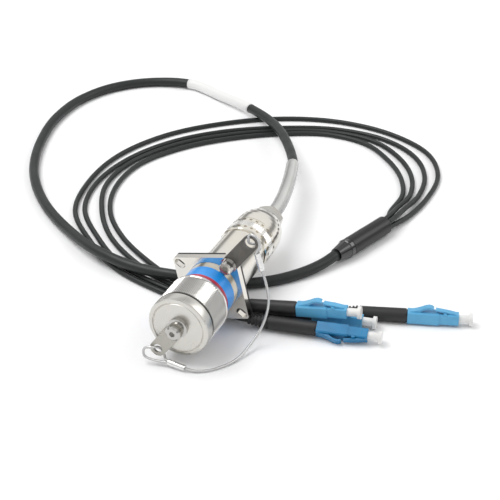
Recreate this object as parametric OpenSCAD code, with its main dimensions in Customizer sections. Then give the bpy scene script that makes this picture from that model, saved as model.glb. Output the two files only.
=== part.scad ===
// Panel-mount round fibre receptacle with a pigtail: a threaded shell with a square
// flange, a screwed dust cap on a wire-rope lanyard, a backshell with a strain sleeve,
// a round cable, a fan-out and four thin cables that end in latched plugs.
// The connector axis is +Y, from the mating end (-Y) to the cable end (+Y). The origin
// is on that axis, where the panel meets the gasket. What is free lies on floor_z.

/* [Flange] */
// Side of the square flange
flange_w = 28.6; // [26:0.1:34]
// Thickness of the flange
flange_t = 3.0; // [2:0.1:4]
// Corner chamfer of the flange
flange_chamfer = 0.8; // [0.5:0.1:2]
// Distance between mounting slots, side to side
hole_pitch = 23.0; // [22.5:0.1:25]
// Width of a mounting slot
slot_w = 3.25; // [3.1:0.05:3.5]
// End-to-end length of a mounting slot
slot_l = 4.93; // [4:0.1:5.4]
// Thickness of the rubber gasket behind the flange
gasket_t = 1.2; // [0.8:0.1:2]
// How far the connector lies turned on its axis, in degrees
lie_roll = 13; // [0:1:20]

/* [Receptacle shell] */
// Outside diameter of the front barrel
shell_d = 22.4; // [21:0.1:22.6]
// Length of the front barrel, from the flange's front face
shell_l = 27.0; // [24:0.5:29]
// Wall of the front barrel
shell_wall = 1.8; // [1.2:0.1:2.4]
// Plain metal between the flange and the wide band
band_margin = 1.9; // [1:0.1:2.2]
// Width of the wide colour band
wide_band_w = 6.3; // [4:0.1:6.5]
// Width of the narrow colour band
narrow_band_w = 1.3; // [0.8:0.1:1.6]
// Depth of the groove that holds the bands
band_depth = 0.35; // [0.2:0.05:0.6]
// How far the bands stand out of their groove
band_proud = 0.1; // [0:0.05:0.2]

/* [Fibre insert] */
// Circle that the four termini stand on, as a radius
terminus_circle = 4.2; // [3.4:0.1:4.8]
// Diameter of a terminus
terminus_d = 1.6; // [1.25:0.05:2]
// Length of the insert
insert_l = 13.0; // [10:0.5:15]
// How far the termini stand out of the insert
terminus_out = 3.0; // [2:0.5:3.5]
// Thickness of the ring that holds the insert
retainer_t = 1.2; // [0.8:0.1:2]

/* [Dust cap] */
// Outside diameter of the cap
cap_d = 26.2; // [25.8:0.1:28]
// Length of the cap
cap_l = 21.4; // [20:0.1:21.8]
// Thickness of the cap's front wall
cap_floor = 3.2; // [3:0.1:4]
// Thickness of the seal inside the cap
seal_t = 1.2; // [0.8:0.1:1.6]
// Length of the smooth band at the cap's rim
cap_band_l = 2.6; // [2:0.1:4]
// Length of the fine-knurled grip
grip_l = 13.0; // [10:0.5:14]
// Width of the rim outside the lathe-cut groove in the front face
face_rim_w = 1.0; // [0.6:0.1:2]
// Running clearance between the cap's bore and the shell
cap_play = 0.08; // [0.03:0.01:0.1]
// Height of the post that carries the link plate
post_h = 2.4; // [2:0.1:3]

/* [Lanyard] */
// Width of the two link plates
link_w = 6.8; // [6:0.1:7.5]
// Thickness of the link plates
link_t = 1.0; // [0.8:0.1:1.4]
// Hole spacing of the flange link plate
flange_link_l = 15.4; // [13:0.1:18]
// Hole spacing of the cap link plate
cap_link_l = 12.4; // [11:0.1:14]
// Direction of the flange link plate, in degrees from the flange's level edge
flange_link_angle = 40; // [30:1:50]
// Direction of the cap link plate, in degrees from the flange's level edge
cap_link_angle = -140; // [-150:1:-130]
// Diameter of the coated wire rope
wire_d = 1.1; // [0.9:0.1:1.2]
// Diameter of the crimp sleeves
crimp_d = 2.6; // [2.5:0.1:3]
// Length of the crimp sleeves
crimp_l = 7.6; // [6:0.2:8]

/* [Rear body and backshell] */
// Outside diameter of the smooth rear body, which passes through the panel
rear_d = 21.2; // [20.6:0.1:21.4]
// Length of the rear body behind the panel face
rear_l = 28.6; // [26:0.1:30]
// Outside diameter of the notched coupling ring
ring_d = 22.0; // [21.6:0.1:22.4]
// Length of the coupling ring
ring_l = 10.0; // [9:0.1:11]
// Number of notches in each row round the coupling ring
notch_count = 24; // [12:1:30]
// Length of the backshell, with its rounded shoulder
backshell_l = 15.4; // [13:0.2:18]
// Across flats of the gland nut
nut_af = 11.6; // [11:0.1:13]
// Length of the gland nut
nut_l = 6.0; // [5:0.1:7]

/* [Cables] */
// Diameter of the main cable
main_d = 4.8; // [4.4:0.1:4.8]
// Diameter of the strain sleeve at the gland
sleeve_d = 6.6; // [6.2:0.1:7]
// Diameter of the white label sleeve
label_d = 5.4; // [5.2:0.1:5.6]
// Diameter of the four thin cables
thin_d = 2.4; // [2:0.1:2.4]

/* [Fan-out] */
// Diameter of the fan-out body
fanout_d = 8.8; // [8.4:0.1:8.8]
// Length of the fan-out body
fanout_l = 27.5; // [27:0.1:28]
// Length of the cone nut in front of it
cone_l = 8.6; // [8:0.1:9]

/* [Plugs] */
// Width and height of the rear clip of a plug
clip_w = 5.2; // [5:0.1:5.2]
// Length of the rear clip
clip_l = 6.2; // [5.5:0.1:6.5]
// Width and height of the nose of a plug
nose_w = 4.5; // [4.3:0.05:4.5]
// Length of clip and housing together
plug_l = 21.2; // [20:0.1:22]
// Diameter of the bore that holds the ferrule
plug_bore_d = 3.6; // [3.4:0.1:3.6]
// Diameter of the ceramic ferrule
ferrule_d = 1.25; // [1.2:0.01:1.3]
// How far the ferrule stands out of the housing
ferrule_out = 4.4; // [3.5:0.1:4.6]
// Spring travel of the ferrule
ferrule_travel = 1.2; // [0.8:0.1:1.3]
// Diameter of the flange of a plug's dust cap
plug_cap_d = 5.4; // [5:0.1:5.4]
// Diameter of a boot at the plug
boot_d = 6.2; // [5.8:0.1:6.2]
// Diameter of a boot at its tail
boot_tail_d = 3.8; // [3.4:0.1:4]
// Length of a boot
boot_l = 29.0; // [28:0.5:30]

/* [Hidden] */
$fn = 64;

// Small clearances and cuts
fit = 0.05;         // between pieces that sit in one another
over = 0.5;         // how far a cut runs past the face that it opens

// The surface that the flange's lowest corner and the cables lie on
floor_z = -flange_w / 2 * cos(lie_roll) - (flange_w / 2 - flange_chamfer) * sin(lie_roll);

// Places along the connector axis, towards the cap
flange_rear = -gasket_t;
flange_front = flange_rear - flange_t;
band_start = flange_front - band_margin;
band_join = band_start - wide_band_w;
band_end = band_join - narrow_band_w;
shell_front = flange_front - shell_l;
shell_bore = shell_d / 2 - shell_wall;
insert_step = -10;
insert_front = insert_step - insert_l;
cap_floor_y = shell_front - seal_t;
cap_front = cap_floor_y - cap_floor;
cap_rim = cap_front + cap_l;
cap_bore = shell_d / 2 + cap_play;
grip_start = cap_rim - cap_band_l;
grip_end = grip_start - grip_l;
link_rear = cap_front - post_h;
link_front = link_rear - link_t;

// Places along the connector axis, towards the cable
rear_bore = 8.0;
thread_r = 8.9;
thread_l = 8.0;
ring_end = rear_l + ring_l;
backshell_end = ring_end + backshell_l;
neck_r = 4.4;
neck_l = 2.4;
neck_end = backshell_end + neck_l;
grommet_t = 1.2;
nut_end = backshell_end + nut_l;

// Screws: the cap screw and the flange screw, nut and washer
cap_screw_r = 1.25;
cap_screw_head_r = 3.2;
cap_screw_head_h = 1.9;
cap_screw_depth = 2.0;
post_r = 4.2;
boss_r = 2.2;
flange_screw_r = 1.5;
flange_screw_head_r = 2.75;
flange_screw_head_h = 3.0;
washer_r = 3.5;
washer_t = 0.6;
flange_nut_af = 5.5;
flange_nut_t = 1.1;
link_eye_r = 2.0;

// Fan-out: its far end [x, y, height above the floor] and its direction
fanout_end = [43, 95, 4.4];
fanout_angle = 71.5;
fanout_axis = [cos(fanout_angle), sin(fanout_angle), 0];
fanout_side = [sin(fanout_angle), -cos(fanout_angle), 0];
exit_spacing = 2.9;
cone_tip_r = 3.0;

// Plugs: where the boot meets the clip [x, y, height above the floor], then the
// turn to the left, the rise of the nose and the roll, in degrees
plug_places = [
    [[33.4, 8.3, 8.0], 8.5, 5, 0],
    [[44, 3.8, 3.6], 9.5, 0, 116],
    [[38.2, 14.1, 3.1], 8.5, 0, -6],
    [[75, 28.4, 3.1], 16.5, 0, -5]];
plug_tints = ["dodgerblue", "mediumblue", "dodgerblue", "dodgerblue"];
trigger_w = 3.0;
latch_w = 2.6;
housing_rear_l = 6.8;       // the stretch of the housing that is as wide as the clip
cavity_start = 8.4;
holder_start = cavity_start + ferrule_travel + 0.2;
holder_l = 3.2;
lip_l = 1.2;
lip_start = holder_start + holder_l + fit;
lip_r = ferrule_d / 2 + 0.35;
ferrule_tip = plug_l + ferrule_out;
cap_barrel_in = 3.4;
cap_barrel_d = plug_bore_d - 2 * fit;
cap_flange_t = 1.4;

// Routes [x, y, height above the floor], from the end that meets a fixed piece
sleeve_route = [[-0.3, 68, 16.8], [-1.6, 78, 16.6], [-4.6, 92, 16.0], [-11.4, 116, 14.8]];
main_route = [[-11.4, 116, 14.8], [-17, 128, 13.4], [-26, 144, 11.2], [-38, 162, 8.4],
    [-50, 175, 6.2], [-63, 185, 4.7], [-86, 197, 3.0], [-109, 205, 2.9], [-129, 200, 2.4],
    [-146, 185, 2.4], [-155, 164, 2.4], [-156, 140, 2.4], [-149, 110, 2.4],
    [-134, 78, 2.4], [-113, 53, 2.4], [-90, 35, 3.0], [-68, 21, 5.2], [-44, 15, 5.2],
    [-20, 17, 5.2], [2, 25, 2.8], [20, 41, 2.4], [28.5, 54, 3.4]];
label_first = 5;
label_last = 7;
thin_route_1 = [[49.4, 112, 1.6], [52, 133, 1.2], [50, 157, 1.2], [39, 177, 1.2],
    [16, 191, 1.2], [-16, 195, 1.2], [-47, 186, 1.2], [-72, 169, 1.2], [-94, 144, 1.2],
    [-106, 113, 1.2], [-106, 82, 1.2], [-98, 55, 1.2], [-79, 34, 1.2], [-57, 17, 1.2],
    [-32, 8, 1.2], [-4, 3.6, 1.2], [3, 3.0, 1.3]];
thin_route_2 = [[46.3, 112.5, 4.0], [47.5, 132, 1.4], [45, 151, 1.2], [34, 171, 1.2],
    [14, 184, 1.2], [-13, 186, 1.2], [-42, 176, 1.2], [-68, 160, 1.2], [-88, 138, 1.2],
    [-100, 110, 1.2], [-102, 84, 1.2], [-95, 59, 1.2], [-77, 38, 1.2], [-56, 21, 1.2],
    [-32, 11.5, 1.2], [-10, 7, 1.9]];
thin_route_3 = [[43.1, 113, 4.0], [43.5, 132, 1.4], [39, 149, 1.2], [27, 167, 1.2],
    [9, 180, 1.2], [-14, 182, 1.2], [-40, 173, 1.2], [-65, 156.5, 1.2], [-85, 135, 1.2],
    [-96.5, 109, 1.2], [-97, 85, 1.2], [-87, 61, 1.2], [-72, 41, 1.2], [-52, 25.5, 1.2],
    [-30, 15, 1.2], [-5, 8.5, 1.4]];
thin_route_4 = [[40, 112.5, 1.6], [40, 131, 1.2], [34, 147, 1.2], [22, 163, 1.2],
    [5, 176, 1.2], [-15, 178.5, 1.2], [-38, 170, 1.2], [-62, 153.5, 1.2],
    [-81, 132.5, 1.2], [-92, 108, 1.2], [-92, 87, 1.2], [-83, 62, 1.2], [-67, 43, 1.2],
    [-48, 29, 1.2], [-28, 18.5, 1.2], [-2, 12.6, 1.2], [25, 17, 1.5]];

// Crimp sleeves: the end on the loop's side, and the way the sleeve runs from it
flange_crimp_end = [21.7, -7, 40.5];
flange_crimp_dir = unit([2.2, 0, -7.3]);
cap_crimp_end = [-2.8, -39.3, 2.0];
cap_crimp_dir = unit([7, -0.4, -0.6]);
wire_route = [[26.3, -7.4, 25.5], [27.1, -7.6, 18.5], [26.4, -8.4, 13], [25.3, -11, 8],
    [23.4, -15.5, 3.9], [22.3, -20.5, 2.1], [20.6, -26.4, 1.0], [17.3, -32, 0.6],
    [12.9, -36.8, 0.6], [8.6, -39.2, 0.8]];
flange_loop = [[23.2, -7.8, 44], [22, -7.4, 47.6], [19, -7.0, 48.4], [17.7, -6.2, 45.4],
    [17.7, -4.7, 42.9], [19, -3.3, 42.2], [21.8, -3.6, 42.6], [22.4, -5.2, 41.9]];
cap_loop = [[-8, -40.6, 2.2], [-13, -40.8, 4], [-12.8, -40.4, 6.6], [-9.4, -39.8, 7.6],
    [-8, -38.5, 7.4], [-6.6, -37.2, 5.8], [-5.4, -37.4, 3.2], [-4.2, -38.6, 2.2]];
strand_gap = 0.6;

// ---- Placing and sweeping ----

// Turns a piece of the connector to the roll that it lies at
module rolled() rotate([0, -lie_roll, 0]) children();

// Revolves a profile of [radius, y] points round the connector axis
module turned(profile) rotate([-90, 0, 0]) rotate_extrude() polygon(profile);

// Stands a flat outline (x right, y up) at y and grows it towards the cap
module facing_cap(y) translate([0, y, 0]) rotate([90, 0, 0]) children();

function unit(v) = v / norm(v);
function on_floor(p) = [p.x, p.y, floor_z + p.z];
function on_floors(route) = [for (p = route) on_floor(p)];
function tangents(p, first, last) = [for (i = [0 : len(p) - 1])
    i == 0 ? first
    : i == len(p) - 1 ? last
    : unit(unit(p[i + 1] - p[i]) + unit(p[i] - p[i - 1]))];
function level(v, t) = unit(v - (v * t) * t);
function carried(t, v, i = 0) = i == len(t) ? []
    : let (s = level(v, t[i])) concat([s], carried(t, s, i + 1));

// Sweeps a polygon with a number of sides along points, as one closed solid. Its
// end faces stand square to the two end directions, to meet the next piece flat.
module tube(points, radius, sides, first_dir, last_dir, up = [0, 0, 1]) {
    n = sides;
    t = tangents(points, first_dir, last_dir);
    s = carried(t, up);
    rings = [for (i = [0 : len(points) - 1], k = [0 : n - 1])
        let (a = 360 * (k + 0.5) / n)
        points[i] + radius * (cos(a) * s[i] + sin(a) * cross(t[i], s[i]))];
    walls = [for (i = [0 : len(points) - 2], k = [0 : n - 1])
        [i * n + k, (i + 1) * n + k, (i + 1) * n + (k + 1) % n, i * n + (k + 1) % n]];
    start_face = [for (k = [0 : n - 1]) k];
    end_face = [for (k = [n - 1 : -1 : 0]) (len(points) - 1) * n + k];
    polyhedron(rings, concat([start_face], walls, [end_face]));
}

// ---- Receptacle ----

module flange_outline() {
    w = flange_w / 2;
    c = flange_chamfer;
    polygon([[w, w - c], [w - c, w], [c - w, w], [-w, w - c],
        [-w, c - w], [c - w, -w], [w - c, -w], [w, c - w]]);
}

module slots_outline() {
    for (turn = [0 : 90 : 270])
        rotate(turn) translate([hole_pitch / 2, hole_pitch / 2]) rotate(45) {
            square([slot_l - slot_w, slot_w], center = true);
            for (side = [-1, 1])
                translate([side * (slot_l - slot_w) / 2, 0]) circle(d = slot_w);
        }
}

module receptacle_shell() color("silver") rolled() {
    facing_cap(flange_rear) linear_extrude(flange_t) difference() {
        flange_outline();
        slots_outline();
        circle(r = shell_bore);
    }
    turned([[insert_bore, rear_spigot_end], [rear_bore - fit, rear_spigot_end],
        [rear_bore - fit, flange_rear - over], [shell_bore + over, flange_rear - over],
        [shell_bore + over, flange_front + over], [shell_d / 2, flange_front + over],
        [shell_d / 2, band_start], [shell_d / 2 - band_depth, band_start],
        [shell_d / 2 - band_depth, band_end], [shell_d / 2, band_end],
        [shell_d / 2, shell_front + shell_edge], [shell_d / 2 - shell_edge, shell_front],
        [shell_bore, shell_front], [shell_bore, insert_step], [insert_bore, insert_step]]);
}
insert_bore = 7.0;
rear_spigot_end = 10;
shell_edge = 0.5;

module band(from, to) turned([[shell_d / 2 - band_depth, from],
    [shell_d / 2 + band_proud, from], [shell_d / 2 + band_proud, to],
    [shell_d / 2 - band_depth, to]]);

module wide_band() color("royalblue") rolled() band(band_start, band_join);

module narrow_band() color("red") rolled() band(band_join, band_end);

module at_termini() for (turn = [45 : 90 : 315])
    rotate([0, turn, 0]) translate([terminus_circle, 0, 0]) children();

module fibre_insert() color("dimgray") rolled() difference() {
    turned([[0, insert_step], [shell_bore - fit, insert_step],
        [shell_bore - fit, insert_front], [0, insert_front]]);
    at_termini() turned([[0, insert_step + over], [terminus_d / 2 + fit, insert_step + over],
        [terminus_d / 2 + fit, insert_front - over], [0, insert_front - over]]);
}

module insert_retainer() color("gray") rolled() turned([
    [shell_bore - 1.4, insert_front], [shell_bore - fit, insert_front],
    [shell_bore - fit, insert_front - retainer_t], [shell_bore - 1.4, insert_front - retainer_t]]);

module termini() color("gold") rolled() {
    collar_r = terminus_d / 2 + 0.5;
    collar_l = 2.4;
    tail = 8;
    at_termini() turned([[0, insert_front - terminus_out],
        [terminus_d / 2, insert_front - terminus_out], [terminus_d / 2, insert_step],
        [collar_r, insert_step], [collar_r, insert_step + collar_l],
        [terminus_d / 2, insert_step + collar_l], [terminus_d / 2, insert_step + tail],
        [0, insert_step + tail]]);
}

module gasket() color([0.1, 0.1, 0.1]) rolled()
    facing_cap(0) linear_extrude(gasket_t) difference() {
        flange_outline();
        slots_outline();
        circle(d = rear_d + 2 * gasket_gap);
        // One corner is left out round the nut of the lanyard's screw
        translate((hole_pitch / 2 - flange_nut_af / 2 - gasket_gap * 4) * [1, 1])
            square(flange_w);
    }
gasket_gap = 0.1;

// ---- Rear body, coupling ring, backshell and gland ----

module rear_body() color("silver") rolled() {
    step_l = 1.8;
    step_r = rear_d / 2 - 0.4;
    turned([[rear_bore, flange_rear], [rear_d / 2, flange_rear],
        [rear_d / 2, rear_l - step_l], [step_r, rear_l - step_l], [step_r, rear_l],
        [thread_r, rear_l], [thread_r, rear_l + thread_l], [rear_bore, rear_l + thread_l]]);
}

module coupling_ring() color("gainsboro") rolled() {
    edge = 0.4;
    notch_w = 1.2;
    notch_l = 1.1;
    notch_depth = 0.8;
    row_places = [1.7, ring_l - 2.2];
    difference() {
        turned([[thread_r + fit, rear_l], [ring_d / 2 - edge, rear_l],
            [ring_d / 2, rear_l + edge], [ring_d / 2, ring_end - edge],
            [ring_d / 2 - edge, ring_end], [thread_r + fit, ring_end]]);
        for (row = row_places, turn = [0 : 360 / notch_count : 359])
            rotate([0, turn, 0])
                translate([ring_d / 2 - notch_depth, rear_l + row, -notch_w / 2])
                    cube([notch_depth + over, notch_l, notch_w]);
    }
}

module backshell() color("gainsboro") rolled() {
    outer = ring_d / 2 - 0.1;
    straight = 3.4;
    wall = 2.0;
    end_r = 5.4;
    arc = [for (a = [0 : 10 : 90])
        [end_r + (outer - end_r) * cos(a),
            ring_end + straight + (backshell_l - straight) * sin(a)]];
    inner_arc = [for (a = [90 : -15 : 0])
        [neck_bore + (outer - wall - neck_bore) * cos(a),
            ring_end + straight + (backshell_l - straight - wall) * sin(a)]];
    turned(concat([[rear_bore, rear_l + thread_l], [thread_r, rear_l + thread_l],
        [thread_r, ring_end], [outer, ring_end]], arc,
        [[neck_r, backshell_end], [neck_r, neck_end], [neck_bore, neck_end]],
        inner_arc, [[rear_bore, ring_end + straight]]));
}
neck_bore = 2.6;

module cable_grommet() color("black") rolled() turned([
    [sleeve_d / 2 + fit, neck_end], [neck_r, neck_end],
    [neck_r, neck_end + grommet_t], [sleeve_d / 2 + fit, neck_end + grommet_t]]);

module gland_nut() color("gainsboro") rolled() difference() {
    intersection() {
        translate([0, backshell_end, 0]) rotate([-90, 0, 0])
            cylinder(h = nut_l, d = nut_af / cos(30), $fn = 6);
        turned([[0, backshell_end], [nut_af / 2 + 0.2, backshell_end],
            [nut_af / cos(30) / 2, backshell_end + 0.6],
            [nut_af / cos(30) / 2, nut_end - 1], [nut_af / 2 - 0.3, nut_end], [0, nut_end]]);
    }
    turned([[0, backshell_end - over], [neck_r + fit, backshell_end - over],
        [neck_r + fit, neck_end + grommet_t], [sleeve_d / 2 + 0.15, neck_end + grommet_t],
        [sleeve_d / 2 + 0.15, nut_end + over], [0, nut_end + over]]);
}

sleeve_end_dir = unit(main_route[1] - sleeve_route[len(sleeve_route) - 2]);

module strain_sleeve() color("slategray")
    tube(concat([[0, neck_end, 0], [0, nut_end, 0]], on_floors(sleeve_route)),
        sleeve_d / 2, 12, [0, 1, 0], sleeve_end_dir);

// ---- Dust cap and its lanyard ----

module dust_cap() color("lightgray") rolled() difference() {
    r = cap_d / 2;
    edge = 0.5;
    front_edge = 0.8;
    relief = 0.5;
    relief_w = 0.9;
    groove = 0.6;
    face_r = r - 0.1 - front_edge - face_rim_w;
    turned([[cap_bore, cap_rim], [r - edge, cap_rim], [r, cap_rim - edge],
        [r, grip_start + 0.4], [r - 0.25, grip_start + 0.2], [r - 0.25, grip_start],
        [r, grip_start], [r, grip_end], [r - relief, grip_end],
        [r - relief, grip_end - relief_w], [r - 0.1, grip_end - relief_w],
        [r - 0.1, cap_front + front_edge], [r - 0.1 - front_edge, cap_front],
        [face_r, cap_front], [face_r - groove / 2, cap_front + groove / 2],
        [face_r - groove, cap_front],
        [0, cap_front], [0, cap_floor_y], [cap_bore, cap_floor_y]]);
    facing_cap(cap_front + cap_screw_depth + fit)
        cylinder(h = cap_screw_depth + over, r = cap_screw_r + fit);
}

module cap_seal() color("black") rolled() turned([
    [shell_bore - 0.4, shell_front], [cap_bore - cap_play, shell_front],
    [cap_bore - cap_play, cap_floor_y], [shell_bore - 0.4, cap_floor_y]]);

module cap_post() color("silver") rolled() turned([
    [cap_screw_r + fit, cap_front], [post_r, cap_front], [post_r, cap_front - 0.8],
    [post_r - 1, cap_front - 1.1], [post_r - 1, link_rear], [boss_r, link_rear],
    [boss_r, link_front - fit], [cap_screw_r + fit, link_front - fit]]);

module cap_screw() color("silver") rolled() {
    head_rear = link_front - fit;
    head_front = head_rear - cap_screw_head_h;
    recess = 1.2;
    difference() {
        turned([[0, cap_front + cap_screw_depth], [cap_screw_r, cap_front + cap_screw_depth],
            [cap_screw_r, head_rear], [cap_screw_head_r, head_rear],
            [cap_screw_head_r, head_front + 0.6], [cap_screw_head_r - 0.7, head_front],
            [0, head_front]]);
        facing_cap(head_front + recess) cylinder(h = recess + over, r = 1.3, $fn = 6);
    }
}

// A flat plate with a round hole at each end, from the first hole along +X
module link_outline(length, first_r, second_r) difference() {
    union() {
        circle(d = link_w);
        translate([length, 0]) circle(d = link_w);
        translate([0, -link_w / 2]) square([length, link_w]);
    }
    circle(r = first_r);
    translate([length, 0]) circle(r = second_r);
}

module cap_link() color("dimgray") rolled() facing_cap(link_rear)
    linear_extrude(link_t) rotate(cap_link_angle)
        link_outline(cap_link_l, boss_r + fit, link_eye_r);

module at_flange_link() translate([hole_pitch / 2, 0, hole_pitch / 2]) children();

module flange_link() color("dimgray") rolled() at_flange_link() facing_cap(flange_front)
    linear_extrude(link_t) rotate(flange_link_angle)
        link_outline(flange_link_l, flange_screw_r + fit, link_eye_r + 0.4);

module flange_screw() color("silver") rolled() at_flange_link() {
    head_rear = flange_front - link_t - washer_t;
    head_front = head_rear - flange_screw_head_h;
    recess = 1.6;
    difference() {
        turned([[0, 0], [flange_screw_r, 0],
            [flange_screw_r, head_rear], [flange_screw_head_r, head_rear],
            [flange_screw_head_r, head_front + 0.3], [flange_screw_head_r - 0.3, head_front],
            [0, head_front]]);
        facing_cap(head_front + recess) cylinder(h = recess + over, r = 1.45, $fn = 6);
    }
}

module flange_washer() color("silver") rolled() at_flange_link() turned([
    [flange_screw_r + fit, flange_front - link_t], [washer_r, flange_front - link_t],
    [washer_r, flange_front - link_t - washer_t],
    [flange_screw_r + fit, flange_front - link_t - washer_t]]);

module flange_nut() color("silver") rolled() at_flange_link()
    translate([0, flange_rear, 0]) difference() {
        rotate([-90, 30, 0])
            cylinder(h = flange_nut_t, d = flange_nut_af / cos(30), $fn = 6);
        turned([[0, -over], [flange_screw_r + fit, -over],
            [flange_screw_r + fit, flange_nut_t + over], [0, flange_nut_t + over]]);
    }

// A closed loop of wire that starts and ends side by side at a crimp
module loop(crimp_end, crimp_dir, route) {
    apart = strand_gap * level([0, 1, 0], crimp_dir);
    end = on_floor(crimp_end);
    tube(concat([end - apart], on_floors(route), [end + apart]), wire_d / 2, 8,
        -crimp_dir, crimp_dir, [0, 1, 0]);
}

module lanyard_wire() color("lightgray") {
    tube(concat([on_floor(flange_crimp_end) + crimp_l * flange_crimp_dir],
        on_floors(wire_route), [on_floor(cap_crimp_end) + crimp_l * cap_crimp_dir]),
        wire_d / 2, 8, flange_crimp_dir, -cap_crimp_dir, [1, 0, 0]);
    loop(flange_crimp_end, flange_crimp_dir, flange_loop);
    loop(cap_crimp_end, cap_crimp_dir, cap_loop);
}

// A straight round sleeve from one point, along a direction
module crimp(from, dir) translate(on_floor(from))
    rotate([0, acos(dir.z), atan2(dir.y, dir.x)]) cylinder(h = crimp_l, d = crimp_d);

module flange_crimp() color("silver") crimp(flange_crimp_end, flange_crimp_dir);

module cap_crimp() color("silver") crimp(cap_crimp_end, cap_crimp_dir);

// ---- Cables and fan-out ----

fanout_start = on_floor(fanout_end) - fanout_l * fanout_axis;
cone_tip = fanout_start - cone_l * fanout_axis;
function fanout_exit(side, up) = on_floor(fanout_end)
    + exit_spacing / 2 * (side * fanout_side + [0, 0, up]);

main_points = concat(on_floors(main_route), [cone_tip]);

module main_tube(radius) tube(main_points, radius, 12, sleeve_end_dir, fanout_axis);

module main_cable() color([0.1, 0.1, 0.1]) main_tube(main_d / 2);

module label_sleeve() color("white") difference() {
    points = [for (i = [label_first : label_last]) main_points[i]];
    tube(points, label_d / 2, 12, unit(points[1] - points[0]),
        unit(points[len(points) - 1] - points[len(points) - 2]));
    main_tube(main_d / 2 + fit);
}

// Stands a piece that is turned about Z along the fan-out, from its start
module along_fanout() translate(fanout_start) rotate([0, 90, fanout_angle]) children();

module fanout_cone() color([0.1, 0.1, 0.1]) along_fanout() rotate_extrude()
    polygon([[0, -cone_l], [cone_tip_r, -cone_l], [fanout_d / 2 - 0.3, -2.4],
        [fanout_d / 2, -2], [fanout_d / 2, 0], [0, 0]]);

module fanout_body() color([0.15, 0.15, 0.15]) along_fanout() rotate_extrude()
    polygon([[0, 0], [fanout_d / 2 - 0.3, 0], [fanout_d / 2 - 0.1, 0.8],
        [fanout_d / 2 - 0.1, fanout_l - 0.8], [fanout_d / 2 - 0.7, fanout_l], [0, fanout_l]]);

function plug_dir(place) = let (yaw = place[1], rise = place[2])
    [cos(rise) * cos(yaw), cos(rise) * sin(yaw), sin(rise)];

module thin_cable(exit, route, place) color([0.1, 0.1, 0.1])
    tube(concat([exit], on_floors(route), [on_floor(place[0]) - boot_l * plug_dir(place)]),
        thin_d / 2, 8, fanout_axis, plug_dir(place));

module thin_cable_1() thin_cable(fanout_exit(1, -1), thin_route_1, plug_places[1]);

module thin_cable_2() thin_cable(fanout_exit(1, 1), thin_route_2, plug_places[0]);

module thin_cable_3() thin_cable(fanout_exit(-1, 1), thin_route_3, plug_places[2]);

module thin_cable_4() thin_cable(fanout_exit(-1, -1), thin_route_4, plug_places[3]);

// ---- Plugs: +X to the nose, +Z to the latch, origin where the boot meets the clip ----

module placed(place) translate(on_floor(place[0]))
    rotate([place[3], -place[2], place[1]]) children();

module along_plug(profile) rotate([0, 90, 0]) rotate_extrude($fn = 48) polygon(profile);

// A side view (x, z) made solid across the plug's width
module across(width) translate([0, width / 2, 0]) rotate([90, 0, 0])
    linear_extrude(width) children();

module squared(from, to, width, edge) translate([from, 0, 0]) rotate([90, 0, 90])
    linear_extrude(to - from) offset_square(width, edge);

module offset_square(width, edge) {
    w = width / 2;
    polygon([[w, edge - w], [w, w - edge], [w - edge, w], [edge - w, w],
        [-w, w - edge], [-w, edge - w], [edge - w, -w], [w - edge, -w]]);
}

module boot(place) color([0.1, 0.1, 0.1]) placed(place) {
    head_l = 20;
    rib_count = 6;
    rib_pitch = (boot_l - head_l) / rib_count;
    rib_gap = 0.4;
    neck = boot_d / 2 - 0.2;
    ribs = [for (i = [0 : rib_count - 1])
        let (r = neck + (boot_tail_d / 2 - neck) * i / (rib_count - 1),
            x = -head_l - i * rib_pitch)
        each [[r - rib_gap, x], [r - rib_gap, x - rib_pitch / 2],
            [r, x - rib_pitch / 2], [r, x - rib_pitch]]];
    along_plug(concat([[0, 0], [boot_d / 2 - 0.5, 0], [boot_d / 2, -0.8],
        [neck, -head_l]], ribs, [[0, -boot_l]]));
}

module clip(place, tint) color(tint) placed(place) difference() {
    union() {
        squared(0, clip_l, clip_w, 0.5);
        across(trigger_w) polygon(trigger_side);
    }
    along_plug([[0, clip_l - 3], [2, clip_l - 3], [2, clip_l + over], [0, clip_l + over]]);
}
trigger_side = [[0.8, 2.2], [0.8, 2.7], [3, 3.1], [5.4, 3.9], [7.4, 4.8], [8.8, 5.1],
    [10, 4.9], [10.8, 4.4], [10.6, 4.1], [9.4, 4.4], [7.8, 4.2], [6.2, 3.4], [4.6, 2.2]];

module housing(place, tint) color(tint) placed(place) difference() {
    union() {
        along_plug([[0, clip_l - 3 + fit], [2 - fit, clip_l - 3 + fit],
            [2 - fit, clip_l + over], [0, clip_l + over]]);
        squared(clip_l, clip_l + housing_rear_l, clip_w, 0.4);
        squared(clip_l + housing_rear_l - over, plug_l, nose_w, 0.35);
        across(latch_w) polygon(latch_side);
        across(nose_w) polygon(shoulder_side);
    }
    along_plug([[0, cavity_start], [plug_bore_d / 2, cavity_start],
        [plug_bore_d / 2, lip_start], [lip_r, lip_start], [lip_r, lip_start + lip_l],
        [plug_bore_d / 2, lip_start + lip_l], [plug_bore_d / 2, plug_l + over],
        [0, plug_l + over]]);
}
// The latch arm bends up and back from the nose
latch_side = [[plug_l - 0.6, 2.0], [plug_l - 1.0, 2.5], [plug_l - 3.5, 3.1],
    [plug_l - 6, 3.5], [plug_l - 9.6, 4.0], [plug_l - 9.6, 3.5], [plug_l - 6.4, 2.95],
    [plug_l - 4.4, 2.6], [plug_l - 3.4, 2.0]];
// The two small shoulders that lock in an adapter
shoulder_side = [[plug_l - 6.4, 2.1], [plug_l - 6.4, 2.9], [plug_l - 5.4, 2.9],
    [plug_l - 4.6, 2.1]];

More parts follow.
